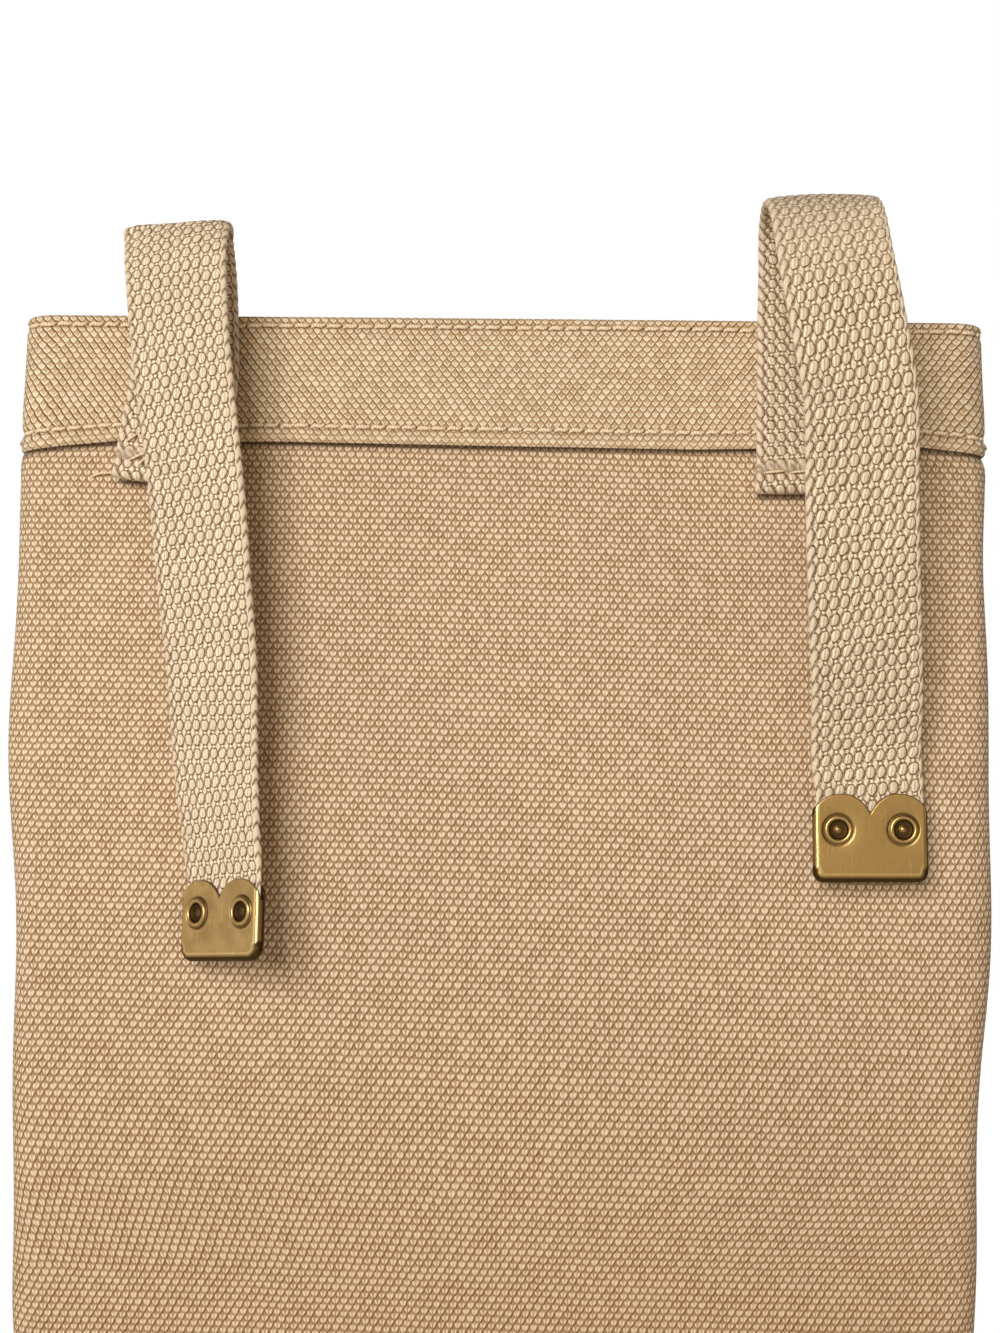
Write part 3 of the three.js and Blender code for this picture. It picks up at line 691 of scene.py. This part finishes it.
# The base: a tray lapped over the foot, flat below, with a soft lower edge and a rounded upper lip.
def base_cloth():
    """Rings go out across the underside, up the lap, over its lip and down inside to the floor of the tray."""
    outer = SEAT + CLOTH
    low = np.linspace(-np.pi / 2, 0, 9)
    lap = np.linspace(BASE_ROUND + 0.6, BASE_LAP - 0.9, 22)
    lip = np.linspace(0, np.pi, 9)
    seam = sum(0.25 * hump(lap - height, 0.8) for height, _ in BASE_ROWS)
    z = np.concatenate([[0, 0, 0], BASE_ROUND + BASE_ROUND * np.sin(low), lap,
                        BASE_LAP - 0.75 + 0.75 * np.sin(lip), [10, 3, CLOTH, CLOTH, CLOTH]])
    off = np.concatenate([[-26, -16, -6], outer - BASE_ROUND + BASE_ROUND * np.cos(low), outer - seam,
                          SEAT + 0.75 + 0.75 * np.cos(lip), [SEAT, SEAT, SEAT - 0.5, -12, -26]])
    rings = wall(z, off[:, None])
    run = np.concatenate([[0], np.cumsum(np.hypot(np.diff(z), np.diff(off)))])
    weave = np.stack(np.meshgrid(ROUND, run + 0.4), -1)
    return piece("base_cloth", [skin(rings, False, weave)], BODY_CLOTH, "canvas", "base_panel")


def base_stitches():
    """Two rows of thread round the lap of the base."""
    rows = [row_of_stitches(3.9, height, SEAT + CLOTH - 0.1, seed) for height, seed in BASE_ROWS]
    return piece("base_stitches", [threads(*row) for row in rows], THREAD, "canvas")


# The straps.
def strap_path(rows):
    """Line through the rows at even steps: cubics whose slopes weigh the steps by the root of their length."""
    x, z, off = rows["x"], rows["z"], rows["off"]
    knots = np.stack([x, cloth_face(x, z) - off, z], -1)
    full = np.concatenate([[2 * knots[0] - knots[1]], knots, [2 * knots[-1] - knots[-2]]])
    gap = np.sqrt(np.linalg.norm(np.diff(full, axis=0), axis=1))[:, None]
    before, here, there, after = full[:-3], full[1:-2], full[2:-1], full[3:]
    first, mid, last = gap[:-2], gap[1:-1], gap[2:]
    leave = mid * ((here - before) / first - (there - before) / (first + mid) + (there - here) / mid)
    reach = mid * ((there - here) / mid - (after - here) / (mid + last) + (after - there) / last)
    square, cube = 3 * (there - here) - 2 * leave - reach, 2 * (here - there) + leave + reach

    def at(t):
        """Place and slope at fractional rows."""
        row = np.clip(t.astype(int), 0, len(knots) - 2)
        s = (t - row)[:, None]
        place = here[row] + s * (leave[row] + s * (square[row] + s * cube[row]))
        return place, leave[row] + s * (2 * square[row] + 3 * s * cube[row])

    fine = np.linspace(0, len(knots) - 1, 6001)
    run = np.concatenate([[0], np.cumsum(np.linalg.norm(np.diff(at(fine)[0], axis=0), axis=1))])
    lengths = np.linspace(0, run[-1], int(run[-1] / STRAP_STEP) + 1)
    t = np.interp(lengths, run, fine)
    middle, along = at(t)
    along = unit(along)
    turn, lean = (np.radians(column(rows, name, t)) for name in ("turn", "lean"))
    across = np.stack([np.cos(turn) * np.cos(lean), -np.sin(turn), np.sin(lean)], -1)
    across = unit(across - along * np.sum(across * along, -1, keepdims=True))
    return {"middle": middle, "along": along, "across": across, "face": np.cross(across, along), "run": lengths}


def into_tip(path, place):
    """Path whose frame turns into the tip's over its last stretch, with a straight stretch added inside the tip."""
    _, across, up, out = place
    near = smooth(path["run"], path["run"][-1] - 16, path["run"][-1])[:, None]
    longer = {}
    extra = np.linspace(0.5, TIP_HOLD, 36)[:, None]
    for name, last in (("along", -up), ("across", across), ("face", -out)):
        blend = unit(path[name] * (1 - near) + last * near)
        longer[name] = np.concatenate([blend, np.repeat(last[None], len(extra), 0)])
    longer["middle"] = np.concatenate([path["middle"], path["middle"][-1:] - extra * up])
    longer["run"] = np.concatenate([path["run"], path["run"][-1] + extra[:, 0]])
    return longer


def web_relief(a, rise, tilt):
    """Height of the webbing from 0 in the gaps to 1: rows of ovals at a tilt, a knot at each corner between them, a
    dot above each oval and slanting cords along the edges."""
    strand, link = cell(a + WEB_START + WEB_STEP / 2, WEB_STEP), cell(a + WEB_START, WEB_STEP)
    tall, between = cell(rise, WEB_ROW), cell(rise + WEB_ROW / 2, WEB_ROW)
    ovals = dome((strand + tilt * tall) / OVAL_WIDE, tall / OVAL_TALL)
    knots = 0.6 * np.sqrt(np.clip(1 - np.abs(link) / 0.72 - np.abs(between) / 1.7, 0, 1))
    dots = 0.5 * dome(strand / 0.4, between / 0.42)
    cords = 1.4 * np.abs(np.sin(np.pi * (rise / WEB_ROW + 0.5 * a)))
    return np.where(np.abs(a) < WEB_CORD, np.maximum(np.maximum(ovals, knots), dots), cords)


def sewn_relief(a, run):
    """Height above the seam of a sewn end: gathers that fan out upwards from it."""
    return 0.5 + 0.5 * np.cos(2 * np.pi * a / (1.5 + 0.12 * np.clip(run - 5, 0, 6)) + np.sin(2.3 * a))


def strap(name, rows, place, weave_of, crown, finish, node):
    """Ribbon of webbing: a flat section with round edges carried along the strap, raised by the weave, whose rows
    have a pitch in the loop, a pitch below it, a slant and a tilt. Its sewn end is doubled and rounded like a fold,
    its edges droop by a crown where it turns over at the top, and its far end is pressed thin to go into the tip."""
    path = into_tip(strap_path(rows), place)
    near, below, slant, tilt = weave_of
    run = path["run"][:, None]
    mouth = path["run"][-1] - TIP_HOLD
    top = np.linspace(-WEB_FLAT, WEB_FLAT, 70)
    bend = np.linspace(-np.pi / 2, np.pi / 2, 8)[1:-1]
    core, edge = 0.8, 0.75
    a = np.concatenate([top, WEB_FLAT + edge * np.cos(bend), top[::-1], -WEB_FLAT - edge * np.cos(bend)])
    t = np.concatenate([0 * top - core, core * np.sin(bend), 0 * top + core, -core * np.sin(bend)])
    na = np.concatenate([0 * top, np.cos(bend), 0 * top, -np.cos(bend)])
    nt = np.concatenate([0 * top - 1, np.sin(bend), 0 * top + 1, -np.sin(bend)])
    top_run = run[np.argmax(path["middle"][:, 2])]
    pitch = near + (below - near) * smooth(run, top_run + 10, top_run + 42)
    rise = np.cumsum(WEB_ROW / pitch * np.gradient(run, axis=0), 0) + slant * np.where(t > 0, -a, a)
    relief = web_relief(a + 0 * run, rise, tilt)
    sewn = smooth(run, 4.3, 4.8) * (1 - smooth(run, 6.2, 8.0))
    bent = smooth(run, top_run - 8, top_run) * (1 - smooth(run, top_run + 14, top_run + 38))
    relief = relief + (sewn_relief(a, run) - relief) * sewn
    relief = relief * (1 - 0.8 * hump(run - 4.9, 0.45))
    pressed = smooth(run, mouth - 4, mouth)
    lift = 0.17 * relief * (1 - pressed)
    thin = 1 - pressed * 0.32
    doubled = 1 - smooth(run, 6.4, 7.4)
    height = t * thin + nt * lift - np.clip(-t / core, 0, 1) * doubled * (SEWN_OFF - SEAT - core - 0.4)
    centre = -doubled * (SEWN_OFF - SEAT - 1.2) / 2
    fold = np.sqrt(np.clip(1 - np.clip(1 - (run + 0.08) / 2.2, 0, 1) ** 2, 0, 1))
    height = centre + (height - centre) * fold
    wide = (1 - pressed * 0.01) * (1 + 0.035 * hump(run, 2.6)) * (1 - 0.1 * (1 - fold) ** 2)
    side = a * wide + na * lift
    middle, across, face = (path[part][:, None] for part in ("middle", "across", "face"))
    rings = middle + side[..., None] * across + height[..., None] * face
    reach_out = np.abs(a) / WEB_HALF
    rings[..., 2] -= crown * hump(run - top_run, 7) * (reach_out ** 2 + 0.4 * smooth(reach_out, 0.8, 1.0))
    weave = np.stack([np.append(a, a[0]) + 0 * run, np.append(rise, rise[:, :1], 1)], -1)
    ribbon = skin(rings, weave=weave, relief=relief, sewn=sewn, bent=bent)
    return piece(name, [ribbon], finish, "webbing", node)


# Brass tips and rivets.
def tip_frame(rows, turn, spin, tilt):
    """Place of a tip: its lower middle and the directions across, up and out of its front, from its turn about the
    upright, its spin in its own plane and its tilt towards the cloth, in degrees."""
    turn, spin, tilt = np.radians([turn, spin, tilt])
    level, face = np.array([math.cos(turn), -math.sin(turn), 0]), np.array([math.sin(turn), math.cos(turn), 0])
    rise = math.cos(tilt) * np.array([0, 0, 1]) - math.sin(tilt) * face
    across, up = math.cos(spin) * level + math.sin(spin) * rise, math.cos(spin) * rise - math.sin(spin) * level
    mouth = strap_path(rows)["middle"][-1]
    return mouth - up * (TIP_RUN + TIP_LIP), across, up, np.cross(across, up)


def placed(local, place):
    """Points given across, up and out of a tip's front, moved to the tip's place."""
    foot, across, up, out = place
    return foot + local[..., :1] * across + local[..., 1:2] * up + local[..., 2:] * out


def grown(local, reach):
    """A tip's points stretched a little across and to a given lower and upper reach."""
    return local * (1.03, (reach[1] - reach[0]) / TIP_LENGTH, 1.0) + (0.0, reach[0], 0.0)


def tip_top(x):
    """Upper edge of a tip: one lobe each side on a cubic curve from the shoulder to the notch."""
    t = np.linspace(0, 1, 200)[::-1]
    parts = [(1 - t) ** 3, 3 * t * (1 - t) ** 2, 3 * t * t * (1 - t), t ** 3]
    along = sum(part * value for part, value in zip(parts, (TIP_HALF, TIP_HALF, 3.6, 0)))
    rise = sum(part * value for part, value in zip(parts, (14.6, 19.6, 23.0, 15.3)))
    return np.interp(np.abs(x), along, rise)


def tip_bottom(x, corner):
    """Lower edge of a tip: level, with round corners."""
    share = np.clip((np.abs(x) - TIP_HALF + corner) / corner, 0, 1)
    return corner * (1 - np.sqrt(1 - share * share))


def to_line(x, y, line_x, line_y):
    """Shortest distance from each point to a dense line of points."""
    return np.sqrt(np.min((x[..., None] - line_x) ** 2 + (y[..., None] - line_y) ** 2, -1))


def rounding(distance, radius):
    """Drop of a rounded edge: a quarter circle of that radius, by distance from the edge."""
    inner = np.clip(radius - distance, 0, radius)
    return radius - np.sqrt(radius * radius - inner * inner)


def strip(first, second):
    """Faces between two lines of vertices."""
    return np.stack([first[:-1], first[1:], second[1:], second[:-1]], -1).reshape(-1, 4)


def brass_tip(name, place, reach, corner, lit, finish, node):
    """Folded brass cap: front and back sheets over a grid between the lower and upper edges, lowered towards the
    edges by roundings and at the rivets by a groove and a well, with a pocket for the webbing inside."""
    x = TIP_HALF * np.sin(np.linspace(-np.pi / 2, np.pi / 2, 171))[:, None]
    v = (0.5 - 0.5 * np.cos(np.linspace(0, np.pi, 121)))[None]
    y = tip_bottom(x, corner) + (tip_top(x) - tip_bottom(x, corner)) * v
    x = x + 0 * v
    dense = np.linspace(-TIP_HALF, TIP_HALF, 500)
    low = to_line(x, y, dense, tip_bottom(dense, corner))
    high = to_line(x, y, dense, tip_top(dense))
    side = TIP_HALF - np.abs(x)
    drop = np.maximum(np.maximum(rounding(low / 1.25, 1.38), rounding(side, 1.15)), rounding(high, 0.3))
    spread = grown(np.stack([x, y, 0 * x], -1), reach)
    ring = np.hypot(np.abs(spread[..., 0]) - RIVET_OUT, spread[..., 1] - RIVET_UP)
    groove = 0.34 * hump(ring - 3.55, 0.2)
    well = 0.5 * (1 - smooth(ring, 2.7, 3.0))
    dished = 0.1 * np.exp(-(ring / 4.6) ** 4)
    front = TIP_THICK / 2 - drop - np.maximum(groove, well) - dished
    back = drop - TIP_THICK / 2
    inner_x, inner_v = x[:, :5] * 12.4 / TIP_HALF, np.linspace(0, 1, 5)[None]
    inner_low = tip_bottom(x[:, :5], corner) + 0.6
    inner_y = inner_low + (tip_top(x[:, :5]) - inner_low) * inner_v
    lip = 0 * inner_x + TIP_LIP
    sheets = [(x, y, front), (x, y, back), (inner_x, inner_y, lip), (inner_x, inner_y, -lip)]
    starts = np.cumsum([0] + [part[0].size for part in sheets])
    grids = [start + np.arange(part[0].size).reshape(part[0].shape) for start, part in zip(starts, sheets)]
    f, b, fi, bi = grids
    quads = [strip(grid[:, j], grid[:, j + 1]) for grid in (f, bi) for j in range(grid.shape[1] - 1)]
    quads += [strip(grid[:, j + 1], grid[:, j]) for grid in (b, fi) for j in range(grid.shape[1] - 1)]
    for one, two in ((f, b), (bi, fi)):
        quads += [strip(one[0], two[0]), strip(two[-1], one[-1]), strip(two[:, 0], one[:, 0])]
    quads += [strip(f[:, -1], fi[:, -1]), strip(bi[:, -1], b[:, -1])]
    quads += [[[grid[-1, -1] for grid in (f, b, bi, fi)]], [[grid[0, -1] for grid in (fi, bi, b, f)]]]
    quads = np.concatenate(quads)
    # Worn bright edges with a painted highlight: strong on the lit side's bevel, faint on the other, and a line above
    # the lower bevel.
    wear_and_painted_glint = np.where(x * lit > 0, 1.0, 0.1) * hump(side - 0.95, 0.4) * smooth(low, 0.8, 1.6)
    wear_and_painted_glint += 0.34 * hump(low - 1.8, 0.25) * smooth(side, 0.6, 1.6)
    # Patina in the rivet grooves and wells; painted shade on the lower bevel and the side walls (less on the lit
    # side); darker along the top edge.
    dark = 0.85 * hump(ring - 3.5, 0.24) + 0.9 * (1 - smooth(ring, 2.7, 3.0)) + 0.9 * (1 - smooth(low, 0.7, 1.7))
    dark += np.where(x * lit > 0, 0.5, 0.85) * (1 - smooth(side, 0.25, 0.6)) + 0.5 * (1 - smooth(high, 0.0, 0.35))
    # The back sheet is darker towards its edges.
    behind = 0.95 - 0.5 * smooth(np.minimum(side, low), 0.4, 1.6)
    age = np.concatenate([np.clip(dark - wear_and_painted_glint, -1, 1).ravel(), behind.ravel(), np.ones(2 * lip.size)])
    local = np.concatenate([np.stack(part, -1).reshape(-1, 3) for part in sheets])
    shell = outward(placed(grown(local, reach), place), [(quads, np.zeros(2))], {"age": age})
    return piece(name, [shell], finish, "brass", node)


def turned(profile, spot, place):
    """Round piece about a rivet's axis: a profile of radius, height and age carried round a circle."""
    radius, height, age = np.array(profile, float).T
    angle = np.linspace(0, 2 * np.pi, 56, endpoint=False)
    local = np.stack([spot[0] + radius[:, None] * np.cos(angle), spot[1] + radius[:, None] * np.sin(angle),
                      height[:, None] + 0 * angle], -1)
    return skin(placed(local, place), age=age[:, None])


def rivet(name, place, side, hollow, finish, node):
    """Hollow rivet: a domed floor in a dark well, a rolled ring in front and a low head behind."""
    face = TIP_THICK / 2
    floor = face - 0.42
    bulge = 0.4 - 0.3 * hollow
    middle = [
        (r, floor + bulge * math.sqrt(max(0, 1 - (r / 0.8) ** 2)), 0.3 + 0.45 * hollow)
        for r in (0.05, 0.25, 0.45, 0.62, 0.74, 0.8)
    ]
    well = [(1.0, floor, 0.95), (1.7, floor, 1), (2.05, floor + 0.04, 1), (2.2, floor + 0.2, 1), (2.26, face, 0.9)]
    bead = [
        (2.8 - 0.54 * math.cos(k), face + 0.06 + 0.5 * math.sin(k), 0.6 * (1 - math.sin(k)) ** 2 - 0.15)
        for k in np.linspace(0.1, math.pi - 0.1, 13)
    ]
    under = [(3.3, face - 0.08, 0.9), (2.62, face - 0.1, 1), (2.6, face - 0.48, 1), (1.0, face - 0.5, 1)]
    head = [(0.05, -face - 0.52, 0.3), (1.6, -face - 0.5, 0.3), (2.7, -face - 0.4, 0.3), (3.2, -face - 0.2, 0.35),
            (3.4, -face - 0.04, 0.6), (3.3, -face - 0.01, 0.8), (0.3, -face - 0.01, 0.8)]
    spot = (side * RIVET_OUT, RIVET_UP)
    shells = [turned(middle + well + bead + under, spot, place), turned(head, spot, place)]
    return piece(name, shells, finish, "brass", node)


# Threads that hold the sewn ends of the straps.
def on_strap(rows, a, run, lift):
    """Points and outward normals on the front of a strap's sewn part, by places across and along it."""
    path = strap_path(rows)
    middle, across, face = (
        np.stack([np.interp(run, path["run"], path[name][:, k]) for k in range(3)], -1)
        for name in ("middle", "across", "face")
    )
    return middle + a[..., None] * across + lift[..., None] * face, face


def end_stitches(name, rows, marks, radius=0.3):
    """Thread across a sewn end: each mark runs from one place on the webbing to another and bows up between."""
    marks = np.array(marks, float)
    share = np.linspace(0, 1, 9)
    a = marks[:, :1] + (marks[:, 2:3] - marks[:, :1]) * share
    run = marks[:, 1:2] + (marks[:, 3:4] - marks[:, 1:2]) * share
    lift = 1.2 + 0.45 * np.sin(np.pi * share) ** 0.6 + 0 * a
    return piece(name, [threads(*on_strap(rows, a, run, lift), radius)], THREAD, "webbing")


def loose_ends():
    """Two short tails of thread by the left strap's sewn end: soft arcs that leave the seam and lie on the cloth."""
    share = np.linspace(0, 1, 16)
    tails = np.array([(-93.0, -5.6, 254.0, -0.9, 0.5, 0.5), (-86.5, 3.4, 255.4, 2.8, 5.2, 0.3)])
    left, aside, low, climb, off, bow = tails.T[..., None]
    arc = bow * np.sin(np.pi * share)
    x, z = left + aside * share, low + climb * share + arc
    path = np.stack([x, cloth_face(x, z) - (off + arc), z], -1)
    out = np.broadcast_to([0.0, -1.0, 0.0], path.shape)
    return piece("loose_threads", [threads(path, out, 0.26)], THREAD, "webbing")


pack_cloth()
hem_band()
hem_stitches()
base_cloth()
base_stitches()
LEFT_TIP = tip_frame(LEFT_STRAP, 41, 6.5, -7.4)
RIGHT_TIP = tip_frame(RIGHT_STRAP, 0, 0.5, -4)
strap("left_webbing", LEFT_STRAP, LEFT_TIP, (3.0, 3.35, 0.04, 0.12), 1.2, LEFT_WEBBING, "strap_left")
strap("right_webbing", RIGHT_STRAP, RIGHT_TIP, (3.1, 3.9, 0.08, 0.2), 0.8, RIGHT_WEBBING, "strap_right")
brass_tip("left_brass_tip", LEFT_TIP, (0.9, 19.3), 3.2, 1, LEFT_BRASS, "tip_left")
brass_tip("right_brass_tip", RIGHT_TIP, (-0.3, 20.1), 2.3, -1, RIGHT_BRASS, "tip_right")
for hand, place, hollow, brass in (("left", LEFT_TIP, 1, LEFT_BRASS), ("right", RIGHT_TIP, 0, RIGHT_BRASS)):
    for letter, side in (("a", -1), ("b", 1)):
        rivet(f"{hand}_rivet_{letter}", place, side, hollow, brass, f"rivet_{hand}_{letter}")
end_stitches("right_end_stitches", RIGHT_STRAP, [
    (-11.2, 4.6, -6.2, 5.1), (-5.0, 4.7, -0.2, 5.2), (1.0, 4.6, 5.8, 5.1), (6.6, 4.7, 11.2, 5.1),
])
end_stitches("left_end_stitches", LEFT_STRAP, [
    (-10.6, 8.6, -8.4, 10.6), (-8.4, 10.8, -6.0, 9.0), (-9.4, 4.4, -5.0, 7.0), (-4.4, 4.8, 0.4, 5.0),
    (1.2, 4.8, 5.8, 5.0), (6.6, 4.8, 11.0, 5.0),
])
loose_ends()

# Studio: pale floor, white surroundings, a broad key light from the upper left, and soft cards.
floor_mesh = bpy.data.meshes.new("pale_floor")
floor_mesh.from_pydata([(-0.7, -0.8, 0), (0.7, -0.8, 0), (0.7, 0.105, 0), (-0.7, 0.105, 0)], [], [(0, 1, 2, 3)])
floor_mesh.materials.append(finish_of("studio_floor", {"Roughness": 0.9}, floor_shade))
added("pale_floor", floor_mesh)

world = bpy.data.worlds.new("studio")
bpy.context.scene.world = world
world.use_nodes = True
world.node_tree.nodes.clear()
sky = Yarn(world.node_tree)
seen = sky.node("LightPath", {}, {})
warm = sky.node("Background", {}, {"Color": (1.0, 0.77, 0.5, 1.0), "Strength": 0.058})
white = sky.node("Background", {}, {"Color": (1.0, 1.0, 1.0, 1.0), "Strength": 1.0})
mixed = sky.node("MixShader", {}, {0: seen, 1: warm, 2: white})
sky.node("OutputWorld", {}, {0: mixed}, slice(0, 0))


def lamp(name, place, aim, size, power, colour):
    """Square soft light at a place, turned to face a height on the pack's middle line."""
    light = bpy.data.lights.new(name, "AREA")
    light.shape, light.size, light.energy, light.color = "SQUARE", size, power, colour
    made = added(name, light)
    made.location = place
    made.rotation_euler = (Vector(place) - Vector((0.0, 0.0, aim))).to_track_quat("Z", "Y").to_euler()


lamp("key_light", (-0.72, -2.05, 0.95), 0.18, 1.1, 44.3, (1.0, 1.0, 1.0))
lamp("front_fill", (0.35, -1.45, 0.45), 0.18, 1.3, 2.5, (1.0, 0.86, 0.68))
lamp("left_card", (-1.2, -0.25, 0.35), 0.18, 0.9, 2.2, (1.0, 0.97, 0.92))
lamp("right_card", (1.2, -0.5, 0.3), 0.18, 0.6, 0.9, (1.0, 0.9, 0.76))
lamp("rear_right", (1.25, 1.7, 1.0), 0.15, 1.2, 15.0, (1.0, 0.98, 0.95))
lamp("rear_left", (-1.25, 1.7, 1.0), 0.15, 1.2, 15.0, (1.0, 0.98, 0.95))

# Camera: its sensor in millimetres, with focal length and picture height in pixels.
SENSOR, FOCAL, PICTURE = 36.0, 1899, 1333
view = bpy.data.cameras.new("front_view")
view.sensor_width, view.lens, view.clip_start = SENSOR, SENSOR * FOCAL / PICTURE, 0.01
camera = added("front_view", view)
camera.location = (-0.00035, -0.483, 0.2087)
camera.rotation_euler = (math.pi / 2, -0.009, 0.0)
bpy.context.scene.camera = camera
bpy.context.scene.view_settings.view_transform = "Standard"
